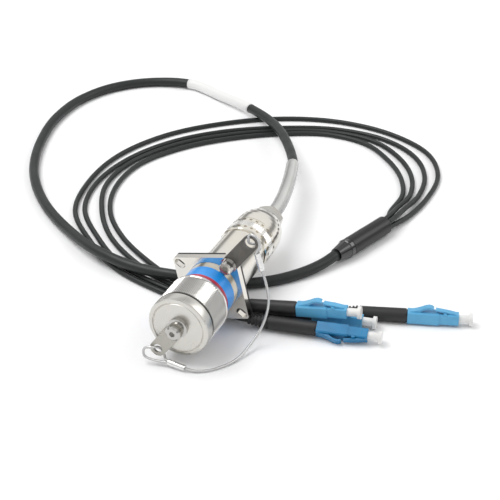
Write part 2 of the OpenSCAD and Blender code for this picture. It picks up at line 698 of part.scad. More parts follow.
module ferrule(place) color("white") placed(place)
    along_plug([[0, holder_start], [plug_bore_d / 2 - fit, holder_start],
        [plug_bore_d / 2 - fit, holder_start + holder_l],
        [ferrule_d / 2, holder_start + holder_l], [ferrule_d / 2, ferrule_tip - 0.15],
        [ferrule_d / 2 - 0.15, ferrule_tip], [0, ferrule_tip]]);

module plug_cap(place) color("whitesmoke") placed(place) {
    bore_r = ferrule_d / 2 + fit;
    depth = ferrule_tip + 0.5;
    along_plug([[bore_r, plug_l - cap_barrel_in], [cap_barrel_d / 2, plug_l - cap_barrel_in],
        [cap_barrel_d / 2, ferrule_tip], [plug_cap_d / 2, ferrule_tip],
        [plug_cap_d / 2, ferrule_tip + cap_flange_t], [0, ferrule_tip + cap_flange_t],
        [0, depth], [bore_r, depth]]);
}

receptacle_shell();
wide_band();
narrow_band();
fibre_insert();
insert_retainer();
termini();
gasket();
rear_body();
coupling_ring();
backshell();
cable_grommet();
gland_nut();
strain_sleeve();
dust_cap();
cap_seal();
cap_post();
cap_screw();
cap_link();
flange_link();
flange_screw();
flange_washer();
flange_nut();
lanyard_wire();
flange_crimp();
cap_crimp();
main_cable();
label_sleeve();
fanout_cone();
fanout_body();
thin_cable_1();
thin_cable_2();
thin_cable_3();
thin_cable_4();
boot(plug_places[0]);  // plug_1_boot
clip(plug_places[0], plug_tints[0]);  // plug_1_clip
housing(plug_places[0], plug_tints[0]);  // plug_1_housing
ferrule(plug_places[0]);  // plug_1_ferrule
plug_cap(plug_places[0]);  // plug_1_cap
boot(plug_places[1]);  // plug_2_boot
clip(plug_places[1], plug_tints[1]);  // plug_2_clip
housing(plug_places[1], plug_tints[1]);  // plug_2_housing
ferrule(plug_places[1]);  // plug_2_ferrule
plug_cap(plug_places[1]);  // plug_2_cap
boot(plug_places[2]);  // plug_3_boot
clip(plug_places[2], plug_tints[2]);  // plug_3_clip
housing(plug_places[2], plug_tints[2]);  // plug_3_housing
ferrule(plug_places[2]);  // plug_3_ferrule
plug_cap(plug_places[2]);  // plug_3_cap
boot(plug_places[3]);  // plug_4_boot
clip(plug_places[3], plug_tints[3]);  // plug_4_clip
housing(plug_places[3], plug_tints[3]);  // plug_4_housing
ferrule(plug_places[3]);  // plug_4_ferrule
plug_cap(plug_places[3]);  // plug_4_cap
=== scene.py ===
# Looks of the panel-mount fibre receptacle with its dust cap, lanyard, pigtail
# cable, fan-out and four latched plugs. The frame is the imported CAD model.
import math

import bmesh
import bpy
from mathutils import Matrix, Vector


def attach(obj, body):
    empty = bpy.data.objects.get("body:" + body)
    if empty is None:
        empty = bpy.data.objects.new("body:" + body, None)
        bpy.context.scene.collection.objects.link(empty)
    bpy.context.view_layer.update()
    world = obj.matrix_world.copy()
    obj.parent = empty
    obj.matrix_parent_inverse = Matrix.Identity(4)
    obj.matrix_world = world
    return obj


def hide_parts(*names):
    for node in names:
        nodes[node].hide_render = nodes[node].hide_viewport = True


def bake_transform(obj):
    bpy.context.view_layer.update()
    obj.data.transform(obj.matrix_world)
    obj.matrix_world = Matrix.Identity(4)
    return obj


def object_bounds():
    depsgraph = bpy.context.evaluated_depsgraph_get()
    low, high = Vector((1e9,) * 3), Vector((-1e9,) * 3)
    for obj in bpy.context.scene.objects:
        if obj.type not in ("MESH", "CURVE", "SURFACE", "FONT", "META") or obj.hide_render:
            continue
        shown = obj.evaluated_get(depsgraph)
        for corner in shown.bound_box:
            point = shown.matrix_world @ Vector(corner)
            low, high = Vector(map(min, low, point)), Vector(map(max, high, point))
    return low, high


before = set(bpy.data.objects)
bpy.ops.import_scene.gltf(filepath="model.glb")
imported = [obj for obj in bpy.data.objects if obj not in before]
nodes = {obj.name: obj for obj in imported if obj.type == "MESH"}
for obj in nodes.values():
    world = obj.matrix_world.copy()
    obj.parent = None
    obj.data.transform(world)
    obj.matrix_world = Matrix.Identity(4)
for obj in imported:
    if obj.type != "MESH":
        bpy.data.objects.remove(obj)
cad_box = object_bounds()
scene = bpy.context.scene

# Sizes and places below are in millimetres, as in part.scad, until they meet MM
MM = 0.001
FLOOR = cad_box[0].z / MM

# ---------------------------------------------------------------- camera

LENS, SENSOR = 100.8, 36
CAMERA_PLACE = Vector((205.86, -444.75, 310.37))
CAMERA_HEADING = Vector((-0.3931, 0.9195)).normalized()
CAMERA_DIP = math.radians(31.0)
camera_data = bpy.data.cameras.new("camera")
camera_data.lens = LENS
camera_data.sensor_width = SENSOR
camera_data.clip_start = 0.01
camera_data.clip_end = 10
camera = bpy.data.objects.new("camera", camera_data)
camera.location = CAMERA_PLACE * MM
level = CAMERA_HEADING * math.cos(CAMERA_DIP)
forward = Vector((level.x, level.y, -math.sin(CAMERA_DIP)))
camera.rotation_euler = forward.to_track_quat("-Z", "Y").to_euler()
scene.collection.objects.link(camera)
scene.camera = camera

# ---------------------------------------------------------------- curves


def unit(v):
    return Vector(v).normalized()


def on_floor(p):
    return Vector((p[0], p[1], FLOOR + p[2]))


def tangents(points, first, last):
    """The curve's direction at each point; the nearer neighbour counts for more."""
    found = []
    for i in range(len(points)):
        if i == 0:
            found.append(unit(first))
        elif i == len(points) - 1:
            found.append(unit(last))
        else:
            a, b = points[i] - points[i - 1], points[i + 1] - points[i]
            found.append(unit(a.normalized() * b.length + b.normalized() * a.length))
    return found


def smooth(points, first, last, step):
    """Points about every step along one smooth curve through the given points."""
    t = tangents(points, first, last)
    curve = [points[0].copy()]
    for i in range(len(points) - 1):
        a, b = points[i], points[i + 1]
        chord = (b - a).length
        count = max(2, round(chord / step))
        for k in range(1, count + 1):
            u = k / count
            u2, u3 = u * u, u * u * u
            curve.append(
                (2 * u3 - 3 * u2 + 1) * a
                + (u3 - 2 * u2 + u) * chord * t[i]
                + (3 * u2 - 2 * u3) * b
                + (u3 - u2) * chord * t[i + 1]
            )
    return curve


def length_of(points):
    return sum((b - a).length for a, b in zip(points, points[1:]))


def carried(directions, up):
    """A side direction at each point, carried along without twist."""
    sides, side = [], Vector(up)
    for t in directions:
        side = (side - side.dot(t) * t).normalized()
        sides.append(side.copy())
    return sides


def make_object(name, mesh, body, material, replaced=(), smooth_shade=True):
    """Links a mesh to the scene as a piece, under its body when one is given."""
    ob = bpy.data.objects.new(name, mesh)
    scene.collection.objects.link(ob)
    if material:
        mesh.materials.append(material)
    if smooth_shade:
        mesh.polygons.foreach_set("use_smooth", [True] * len(mesh.polygons))
    if body:
        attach(ob, body)
    if replaced:
        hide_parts(*replaced)
    return ob


def tube_mesh(name, points, radii, sides, first, last, up=(0, 0, 1)):
    """A closed tube along points, with one radius or one for each point. Its UV map
    runs round the tube from 0 to 1 and along it in millimetres."""
    t = [unit(first)]
    for i in range(1, len(points) - 1):
        t.append(unit(points[i + 1] - points[i - 1]))
    t.append(unit(last))
    s = carried(t, up)
    if not hasattr(radii, "__len__"):
        radii = [radii] * len(points)
    verts, run, along = [], 0.0, []
    for i, p in enumerate(points):
        if i:
            run += (p - points[i - 1]).length
        along.append(run)
        other = t[i].cross(s[i])
        for k in range(sides):
            a = 2 * math.pi * (k + 0.5) / sides
            out = math.cos(a) * s[i] + math.sin(a) * other
            verts.append((p + radii[i] * out) * MM)
    faces, uvs = [], []
    for i in range(len(points) - 1):
        for k in range(sides):
            n = (k + 1) % sides
            here, there = i * sides, (i + 1) * sides
            faces.append((here + k, here + n, there + n, there + k))
            u0, u1 = k / sides, (k + 1) / sides
            uvs += [(u0, along[i]), (u1, along[i]), (u1, along[i + 1]), (u0, along[i + 1])]
    end = (len(points) - 1) * sides
    faces.append(tuple(range(sides - 1, -1, -1)))
    faces.append(tuple(end + k for k in range(sides)))
    uvs += [(0.5, along[0])] * sides + [(0.5, along[-1])] * sides
    mesh = bpy.data.meshes.new(name)
    mesh.from_pydata([tuple(v) for v in verts], [], faces)
    layer = mesh.uv_layers.new(name="map")
    for loop, uv in zip(layer.data, uvs):
        loop.uv = uv
    mesh.validate()
    mesh.update()
    return mesh


# ---------------------------------------------------------------- materials


class Surface:
    """A procedural material built from Principled BSDF and small node chains."""

    def __init__(self, name, colour, rough=0.5, metal=0.0, **fixed):
        self.m = bpy.data.materials.new(name)
        self.m.use_nodes = True
        self.t = self.m.node_tree
        self.bsdf = self.t.nodes["Principled BSDF"]
        self.set("Base Color", (*colour, 1))
        self.set("Roughness", rough)
        self.set("Metallic", metal)
        for key, value in fixed.items():
            self.set(key.replace("_", " "), value)
        self.colour = colour
        self.coords = self.t.nodes.new("ShaderNodeTexCoord")
        self.bumped = None

    def set(self, socket, value):
        self.bsdf.inputs[socket].default_value = value

    def node(self, kind, **inputs):
        n = self.t.nodes.new(kind)
        for key, value in inputs.items():
            self.put(n, key.replace("_", " "), value)
        return n

    def put(self, n, key, value):
        """Links a socket to a node's input, or sets the input to a value."""
        socket = n.inputs[int(key)] if key.isdigit() else n.inputs[key]
        if isinstance(value, bpy.types.NodeSocket):
            self.t.links.new(value, socket)
        else:
            socket.default_value = value

    def noise(self, scale, detail=3.0, stretch=(1, 1, 1)):
        """Noise in the row frame; scale is per metre."""
        source = self.coords.outputs["Object"]
        if tuple(stretch) != (1, 1, 1):
            source = self.node("ShaderNodeMapping", Vector=source, Scale=stretch).outputs[0]
        n = self.node("ShaderNodeTexNoise", Vector=source, Scale=scale, Detail=detail)
        return n.outputs["Fac"]

    def ramp(self, value, low, high, from_low=0.3, from_high=0.7):
        n = self.node("ShaderNodeMapRange", Value=value)
        n.inputs["From Min"].default_value = from_low
        n.inputs["From Max"].default_value = from_high
        n.inputs["To Min"].default_value = low
        n.inputs["To Max"].default_value = high
        return n.outputs[0]

    def math(self, operation, a, b=0.0):
        n = self.node("ShaderNodeMath")
        n.operation = operation
        self.put(n, "0", a)
        self.put(n, "1", b)
        return n.outputs[0]

    def mix(self, factor, a, b):
        n = self.t.nodes.new("ShaderNodeMix")
        n.data_type = "RGBA"
        self.put(n, "0", factor)
        for index, value in ((6, a), (7, b)):
            if isinstance(value, bpy.types.NodeSocket):
                self.t.links.new(value, n.inputs[index])
            else:
                n.inputs[index].default_value = (*value, 1)
        return n.outputs[2]

    def paint(self, socket, name="Base Color"):
        self.t.links.new(socket, self.bsdf.inputs[name])

    def bump(self, height, distance, strength=1.0):
        n = self.node("ShaderNodeBump", Height=height, Strength=strength, Distance=distance)
        if self.bumped:
            self.t.links.new(self.bumped, n.inputs["Normal"])
        self.bumped = n.outputs[0]
        self.t.links.new(self.bumped, self.bsdf.inputs["Normal"])
        return self

    def vary(self, scale, low, high, detail=3.0):
        """Lets the roughness wander between two values."""
        self.paint(self.ramp(self.noise(scale, detail), low, high), "Roughness")
        return self

    def mottle(self, scale, other, detail=3.0):
        """Lets the colour wander to another."""
        share = self.ramp(self.noise(scale, detail), 0.0, 1.0)
        self.paint(self.mix(share, self.colour, other))
        return self

    def turn_on_lathe(self):
        """Brushes the surface round the connector axis."""
        n = self.t.nodes.new("ShaderNodeTangent")
        n.direction_type = "RADIAL"
        n.axis = "Y"
        self.t.links.new(n.outputs[0], self.bsdf.inputs["Tangent"])
        return self


nickel = Surface("nickel", (0.74, 0.725, 0.685), 0.14, 1.0)
nickel.vary(120, 0.10, 0.18, 1.0).mottle(40, (0.78, 0.745, 0.67), 1.0)

cap_nickel = Surface("cap_nickel", (0.63, 0.615, 0.575), 0.27, 1.0, Anisotropic=0.8)
cap_nickel.turn_on_lathe().vary(90, 0.24, 0.30, 1.0)


def pit_shaded_grip_surface(name, pit, peak):
    """Knurled nickel with painted shade: the colour goes from near black at the pit radius to
    bright nickel at the peak radius. Both are distances from the connector axis, in metres."""
    s = Surface(name, (0.94, 0.925, 0.89), 0.20, 1.0)
    parts = s.node("ShaderNodeSeparateXYZ", Vector=s.coords.outputs["Object"])
    x2 = s.math("MULTIPLY", parts.outputs[0], parts.outputs[0])
    z2 = s.math("MULTIPLY", parts.outputs[2], parts.outputs[2])
    depth = s.ramp(s.math("SQRT", s.math("ADD", x2, z2)), 0.0, 1.0, pit, peak)
    # painted shade: the pit colour darkens the knurl's hollows
    s.paint(s.mix(depth, (0.12, 0.117, 0.11), s.colour))
    return s


grip_nickel_pit_shade = pit_shaded_grip_surface("grip_nickel_pit_shade", 0.01275, 0.01298)
ring_nickel_pit_shade = pit_shaded_grip_surface("ring_nickel_pit_shade", 0.01085, 0.01104)

band_nickel = Surface("band_nickel", (0.82, 0.805, 0.77), 0.12, 1.0)
band_nickel.mottle(130, (0.84, 0.78, 0.76), 1.0)

blue_band = Surface("blue_band", (0.010, 0.30, 0.83), 0.30,
    Coat_Weight=0.5, Coat_Roughness=0.08)
blue_band.mottle(500, (0.008, 0.26, 0.74), 2.0)

red_band = Surface("red_band", (0.56, 0.012, 0.045), 0.32,
    Coat_Weight=0.5, Coat_Roughness=0.08)
red_band.mottle(600, (0.36, 0.010, 0.03), 2.0)

insert_grey = Surface("insert_grey", (0.045, 0.05, 0.055), 0.45)
insert_grey.bump(insert_grey.noise(3000, 2.0), 0.00002, 0.3)

dark_metal = Surface("dark_metal", (0.20, 0.20, 0.20), 0.35, 1.0)
dark_metal.vary(700, 0.28, 0.42)

terminus = Surface("terminus", (0.62, 0.48, 0.22), 0.22, 1.0)
terminus.vary(900, 0.15, 0.3)

rubber_black = Surface("rubber_black", (0.012, 0.012, 0.013), 0.55)
rubber_black.bump(rubber_black.noise(2500, 3.0), 0.00003, 0.35)

steel = Surface("steel", (0.50, 0.49, 0.47), 0.16, 1.0)
steel.vary(300, 0.12, 0.22, 1.0)

# painted shade: the flange's link plate is a darker copy of the cap's link plate metal
link_plate = Surface("link_plate", (0.16, 0.155, 0.145), 0.36, 1.0)
link_plate.vary(900, 0.28, 0.46)
link_plate.bump(link_plate.noise(2200, 3.0), 0.00003, 0.3)

cap_link_plate = Surface("cap_link_plate", (0.42, 0.41, 0.37), 0.30, 1.0)
cap_link_plate.vary(900, 0.24, 0.38)
cap_link_plate.bump(cap_link_plate.noise(2200, 3.0), 0.00003, 0.25)

crimp = Surface("crimp", (0.80, 0.80, 0.79), 0.22, 0.85)
crimp.vary(700, 0.16, 0.3).bump(crimp.noise(1300, 2.0), 0.00003, 0.25)


def painted_highlight_sleeve_surface():
    """Shrunk grey tubing: soft light and dark stripes along it, painted highlights for the
    glossy skin.
    """
    s = Surface("sleeve_grey", (0.36, 0.36, 0.35), 0.24, Coat_Weight=0.8, Coat_Roughness=0.1)
    parts = s.node("ShaderNodeSeparateXYZ", Vector=s.coords.outputs["UV"])
    wave = s.math("SINE", s.math("MULTIPLY", parts.outputs[0], math.pi * 6))
    wander = s.math("MULTIPLY", s.noise(60, 2.0), 1.2)
    # painted highlight: the light stripes stand in for streak highlights
    tone = s.ramp(s.math("ADD", wave, wander), 0.0, 1.0, -0.6, 1.6)
    s.paint(s.mix(tone, (0.24, 0.24, 0.235), (0.56, 0.56, 0.54)))
    return s


sleeve_grey = painted_highlight_sleeve_surface()

cable_black = Surface("cable_black", (0.012, 0.015, 0.0145), 0.40, Specular_IOR_Level=0.42)
cable_black.bump(cable_black.noise(1800, 4.0), 0.00005, 0.35)
cable_black.vary(120, 0.36, 0.50)

label_white = Surface("label_white", (0.80, 0.80, 0.79), 0.4)
label_white.bump(label_white.noise(1200, 2.0), 0.00003, 0.2)

black_gloss = Surface("black_gloss", (0.006, 0.006, 0.006), 0.12,
    Coat_Weight=0.6, Coat_Roughness=0.04)
black_gloss.vary(200, 0.10, 0.16, 1.0)

black_matte = Surface("black_matte", (0.009, 0.009, 0.009), 0.34, Specular_IOR_Level=0.4)
black_matte.bump(black_matte.noise(2400, 3.0), 0.00004, 0.35)

boot_black = Surface("boot_black", (0.012, 0.012, 0.013), 0.48)
boot_black.bump(boot_black.noise(2600, 3.0), 0.00003, 0.3)

plug_blue = Surface("plug_blue", (0.10, 0.40, 0.66), 0.34,
    Coat_Weight=0.15, Coat_Roughness=0.2)
plug_blue.mottle(220, (0.085, 0.36, 0.61), 2.0)
plug_blue.bump(plug_blue.noise(2600, 3.0), 0.00002, 0.3)

# painted shade: a darker copy of the plug blue, given to plug 2
plug_blue_dark = Surface("plug_blue_dark", (0.010, 0.20, 0.42), 0.26,
    Coat_Weight=0.3, Coat_Roughness=0.15)
plug_blue_dark.mottle(220, (0.009, 0.17, 0.36), 2.0)
plug_blue_dark.bump(plug_blue_dark.noise(2600, 3.0), 0.00002, 0.3)

ceramic_white = Surface("ceramic_white", (0.82, 0.80, 0.76), 0.15, Coat_Weight=0.4)
ceramic_white.mottle(900, (0.78, 0.76, 0.71), 2.0)

cap_white = Surface("cap_white", (0.80, 0.79, 0.77), 0.35)
cap_white.mottle(500, (0.74, 0.74, 0.73), 2.0)

WIRE_LAY = 0.35         # turns of the strands in a millimetre


def coated_wire_surface():
    """Twisted wire strands seen through a clear coat: slanted stripes on the UV map."""
    s = Surface("coated_wire", (0.60, 0.60, 0.60), 0.25, 0.6,
        Coat_Weight=1.0, Coat_Roughness=0.12)
    parts = s.node("ShaderNodeSeparateXYZ", Vector=s.coords.outputs["UV"])
    lay = s.math("ADD", parts.outputs[0], s.math("MULTIPLY", parts.outputs[1], WIRE_LAY))
    wave = s.math("ABSOLUTE", s.math("SINE", s.math("MULTIPLY", lay, math.pi * 6)))
    s.paint(s.mix(wave, (0.28, 0.28, 0.28), (0.72, 0.72, 0.71)))
    s.bump(wave, 0.00006, 0.6)
    return s


coated_wire = coated_wire_surface()

# ---------------------------------------------------------------- cords

NECK_END, NUT_END = 56.4, 60.0
sleeve_route = [[-0.3, 68, 16.8], [-1.6, 78, 16.6], [-4.6, 92, 16.0], [-11.4, 116, 14.8]]
main_route = [[-11.4, 116, 14.8], [-17, 128, 13.4], [-26, 144, 11.2], [-38, 162, 8.4],
    [-50, 175, 6.2], [-63, 185, 4.7], [-86, 197, 3.0], [-109, 205, 2.9], [-129, 200, 2.4],
    [-146, 185, 2.4], [-155, 164, 2.4], [-156, 140, 2.4], [-149, 110, 2.4],
    [-134, 78, 2.4], [-113, 53, 2.4], [-90, 35, 3.0], [-68, 21, 5.2], [-44, 15, 5.2],
    [-20, 17, 5.2], [2, 25, 2.8], [20, 41, 2.4], [28.5, 54, 3.4]]
thin_routes = [
    [[49.4, 112, 1.6], [52, 133, 1.2], [50, 157, 1.2], [39, 177, 1.2],
        [16, 191, 1.2], [-16, 195, 1.2], [-47, 186, 1.2], [-72, 169, 1.2], [-94, 144, 1.2],
        [-106, 113, 1.2], [-106, 82, 1.2], [-98, 55, 1.2], [-79, 34, 1.2], [-57, 17, 1.2],
        [-32, 8, 1.2], [-4, 3.6, 1.2], [3, 3.0, 1.3]],
    [[46.3, 112.5, 4.0], [47.5, 132, 1.4], [45, 151, 1.2], [34, 171, 1.2],
        [14, 184, 1.2], [-13, 186, 1.2], [-42, 176, 1.2], [-68, 160, 1.2], [-88, 138, 1.2],
        [-100, 110, 1.2], [-102, 84, 1.2], [-95, 59, 1.2], [-77, 38, 1.2], [-56, 21, 1.2],
        [-32, 11.5, 1.2], [-10, 7, 1.9]],
    [[43.1, 113, 4.0], [43.5, 132, 1.4], [39, 149, 1.2], [27, 167, 1.2],
        [9, 180, 1.2], [-14, 182, 1.2], [-40, 173, 1.2], [-65, 156.5, 1.2], [-85, 135, 1.2],
        [-96.5, 109, 1.2], [-97, 85, 1.2], [-87, 61, 1.2], [-72, 41, 1.2], [-52, 25.5, 1.2],
        [-30, 15, 1.2], [-5, 8.5, 1.4]],
    [[40, 112.5, 1.6], [40, 131, 1.2], [34, 147, 1.2], [22, 163, 1.2],
        [5, 176, 1.2], [-15, 178.5, 1.2], [-38, 170, 1.2], [-62, 153.5, 1.2],
        [-81, 132.5, 1.2], [-92, 108, 1.2], [-92, 87, 1.2], [-83, 62, 1.2], [-67, 43, 1.2],
        [-48, 29, 1.2], [-28, 18.5, 1.2], [-2, 12.6, 1.2], [25, 17, 1.5]]]
MAIN_D, THIN_D, LABEL_D, SLEEVE_D, WIRE_D = 4.8, 2.4, 5.4, 6.6, 1.1

fanout_turn = math.radians(71.5)
FANOUT_L, CONE_L = 27.5, 8.6
fanout_axis = Vector((math.cos(fanout_turn), math.sin(fanout_turn), 0))
fanout_side = Vector((math.sin(fanout_turn), -math.cos(fanout_turn), 0))
fanout_end = on_floor((43, 95, 4.4))
fanout_start = fanout_end - FANOUT_L * fanout_axis
cone_tip = fanout_start - CONE_L * fanout_axis

# Each plug: where its boot meets its clip, then yaw, rise and roll in degrees
plug_places = [
    ((33.4, 8.3, 8.0), 8.5, 5, 0),
    ((44, 3.8, 3.6), 9.5, 0, 116),
    ((38.2, 14.1, 3.1), 8.5, 0, -6),
    ((75, 28.4, 3.1), 16.5, 0, -5)]
BOOT_L = 29.0
PLUG_PARTS = ("boot", "clip", "housing", "ferrule", "cap")


def plug_frame(place):
    """Where the boot meets the clip, and the plug's rotation, as part.scad turns it."""
    at, yaw, rise, roll = place
    turn = (Matrix.Rotation(math.radians(yaw), 3, "Z")
        @ Matrix.Rotation(math.radians(-rise), 3, "Y")
        @ Matrix.Rotation(math.radians(roll), 3, "X"))
    return on_floor(at), turn


sleeve_points = [Vector((0, NECK_END, 0)), Vector((0, NUT_END, 0))]
sleeve_points += [on_floor(p) for p in sleeve_route]
sleeve_end_dir = unit(on_floor(main_route[1]) - on_floor(sleeve_route[-2]))
sleeve_curve = smooth(sleeve_points, (0, 1, 0), sleeve_end_dir, 1.5)
main_points = [on_floor(p) for p in main_route] + [cone_tip]
main_curve = smooth(main_points, sleeve_end_dir, fanout_axis, 2.0)

main_mesh = tube_mesh("main_cable", main_curve, MAIN_D / 2, 28, sleeve_end_dir, fanout_axis)
main_cable = make_object("main_cable_run", main_mesh, "receptacle",
    cable_black.m, ("main_cable",))

# The sleeve draws in round the cable over its last millimetres
DRAWN_IN, DRAWN_OVER = 0.5, 2.5
run = 0.0
radii = []
total = length_of(sleeve_curve)
for i, p in enumerate(sleeve_curve):
    if i:
        run += (p - sleeve_curve[i - 1]).length
    radii.append(SLEEVE_D / 2 - DRAWN_IN * max(0.0, 1 - (total - run) / DRAWN_OVER) ** 2)
sleeve_mesh = tube_mesh("strain_sleeve", sleeve_curve, radii, 40, (0, 1, 0), sleeve_end_dir)
sleeve = make_object("strain_sleeve_skin", sleeve_mesh, "receptacle",
    sleeve_grey.m, ("strain_sleeve",))

label_points = [on_floor(main_route[i]) for i in (5, 6, 7)]
near = [min(range(len(main_curve)), key=lambda i: (main_curve[i] - p).length)
    for p in label_points]
label_curve = main_curve[near[0]:near[2] + 1]
label_mesh = tube_mesh("label_sleeve", label_curve, LABEL_D / 2, 28,
    label_curve[1] - label_curve[0], label_curve[-1] - label_curve[-2])
label = make_object("label_sleeve_skin", label_mesh, "receptacle",
    label_white.m, ("label_sleeve",))

# Each thin cable's corner of the fan-out, and the plug that it ends in
EXIT_PITCH = 2.9
exits = [(1, -1), (1, 1), (-1, 1), (-1, -1)]
ends = [1, 0, 2, 3]
for number, (route, (side, up), plug) in enumerate(zip(thin_routes, exits, ends), 1):
    start = fanout_end + EXIT_PITCH / 2 * (side * fanout_side + Vector((0, 0, up)))
    at, turn = plug_frame(plug_places[plug])
    way = turn @ Vector((1, 0, 0))
    points = [start] + [on_floor(p) for p in route] + [at - BOOT_L * way]
    curve = smooth(points, fanout_axis, way, 1.8)
    mesh = tube_mesh("thin_cable_%d" % number, curve, THIN_D / 2, 16, fanout_axis, way)
    cable = make_object("thin_cable_%d_run" % number, mesh, "receptacle",
        cable_black.m, ("thin_cable_%d" % number,))

# The lanyard: a coated wire rope between two crimps, with a loop at each end
CRIMP_L = 7.6
WIRE_SIDES = 14
LOOP_GAP = 0.6          # from the crimp's axis to each of the loop's two wires
flange_crimp_end, flange_crimp_dir = on_floor((21.7, -7, 40.5)), unit((2.2, 0, -7.3))
cap_crimp_end, cap_crimp_dir = on_floor((-2.8, -39.3, 2.0)), unit((7, -0.4, -0.6))
wire_route = [[26.3, -7.4, 25.5], [27.1, -7.6, 18.5], [26.4, -8.4, 13], [25.3, -11, 8],
    [23.4, -15.5, 3.9], [22.3, -20.5, 2.1], [20.6, -26.4, 1.0], [17.3, -32, 0.6],
    [12.9, -36.8, 0.6], [8.6, -39.2, 0.8]]
flange_loop = [[23.2, -7.8, 44], [22, -7.4, 47.6], [19, -7.0, 48.4], [17.7, -6.2, 45.4],
    [17.7, -4.7, 42.9], [19, -3.3, 42.2], [21.8, -3.6, 42.6], [22.4, -5.2, 41.9]]
cap_loop = [[-8, -40.6, 2.2], [-13, -40.8, 4], [-12.8, -40.4, 6.6], [-9.4, -39.8, 7.6],
    [-8, -38.5, 7.4], [-6.6, -37.2, 5.8], [-5.4, -37.4, 3.2], [-4.2, -38.6, 2.2]]


def loop_mesh(name, end, way, route):
    """A loop of wire that leaves a crimp's end, runs the route and comes back."""
    side = Vector((0, 1, 0))
    apart = LOOP_GAP * (side - side.dot(way) * way).normalized()
    points = [end - apart] + [on_floor(p) for p in route] + [end + apart]
    curve = smooth(points, -way, way, 0.6)
    return tube_mesh(name, curve, WIRE_D / 2, WIRE_SIDES, -way, way, (0, 1, 0))


wire_start = flange_crimp_end + CRIMP_L * flange_crimp_dir
wire_end = cap_crimp_end + CRIMP_L * cap_crimp_dir
wire_curve = smooth([wire_start] + [on_floor(p) for p in wire_route] + [wire_end],
    flange_crimp_dir, -cap_crimp_dir, 0.8)
wire_mesh = tube_mesh("lanyard_wire", wire_curve, WIRE_D / 2, WIRE_SIDES,
    flange_crimp_dir, -cap_crimp_dir, (1, 0, 0))
wire = make_object("lanyard_wire_run", wire_mesh, None,
    coated_wire.m, ("lanyard_wire",))
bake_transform(wire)
upper_mesh = loop_mesh("lanyard_loop_flange", flange_crimp_end, flange_crimp_dir, flange_loop)
upper_loop = make_object("lanyard_loop_flange", upper_mesh, "receptacle",
    coated_wire.m, ("lanyard_wire",))
lower_mesh = loop_mesh("lanyard_loop_cap", cap_crimp_end, cap_crimp_dir, cap_loop)
lower_loop = make_object("lanyard_loop_cap", lower_mesh, "cap_carrier",
    coated_wire.m)

# ---------------------------------------------------------------- turned pieces

# The connector lies rolled about its axis, which is Y
LIE_ROLL = Matrix.Rotation(math.radians(-13), 4, "Y")


CAP_RIM, GRIP_START, GRIP_END, CAP_FRONT, CAP_FLOOR_Y = -14.2, -16.8, -29.8, -35.6, -32.4
CAP_R, CAP_BORE, SCREW_R, SCREW_DEPTH = 13.1, 11.28, 1.3, 2.05
FACE_R = 11.2           # the groove in the cap's face runs inside this radius
CAP_AROUND, CAP_ROWS, CAP_KNURL_DEPTH = 148, 24, 0.36
RING_AROUND, RING_ROWS, RING_KNURL_DEPTH = 128, 8, 0.14
RING_R, RING_INNER_R, RING_START, RING_END = 11.14, 10.7, 31.8, 35.8
SPLIT_ANGLE = math.radians(22)

# The dust cap's looks by material index, as the piece lists them. The relief groove gets dark
# metal, painted shade in that recess.
FACE, GRIP, BAND, RELIEF_SHADE = 0, 1, 2, 3


def vertex(bm, r, turn, y):
    """A vertex at radius r, a share of a turn round the axis, and y along it."""
    a = 2 * math.pi * turn
    return bm.verts.new((r * math.cos(a) * MM, y * MM, r * math.sin(a) * MM))


def new_ring(bm, r, y, around):
    return [vertex(bm, r, k / around, y) for k in range(around)]


def join_rings(bm, a, b, material):
    for k in range(len(a)):
        n = (k + 1) % len(a)
        bm.faces.new((a[k], a[n], b[n], b[k])).material_index = material


def lying_mesh(bm, name):
    mesh = bpy.data.meshes.new(name)
    bm.to_mesh(mesh)
    bm.free()
    mesh.transform(LIE_ROLL)
    return mesh


def knurl(bm, radius, start, end, around, rows, depth):
    """A diamond knurl: a lattice of pits and peaks, split along the grooves. Gives its
    first and last ring."""
    rings = []
    for j in range(rows + 1):
        y = start + (end - start) * j / rows
        ring = []
        for i in range(around):
            r = radius if (i + j) % 2 and 0 < j < rows else radius - depth
            ring.append(vertex(bm, r, i / around, y))
        rings.append(ring)
    for j in range(rows):
        for i in range(around):
            n = (i + 1) % around
            a, b, c, d = rings[j][i], rings[j][n], rings[j + 1][n], rings[j + 1][i]
            split = ((b, a, d), (b, d, c)) if (i + j) % 2 else ((a, c, b), (a, d, c))
            for corners in split:
                bm.faces.new(corners).material_index = GRIP
    return rings[0], rings[-1]


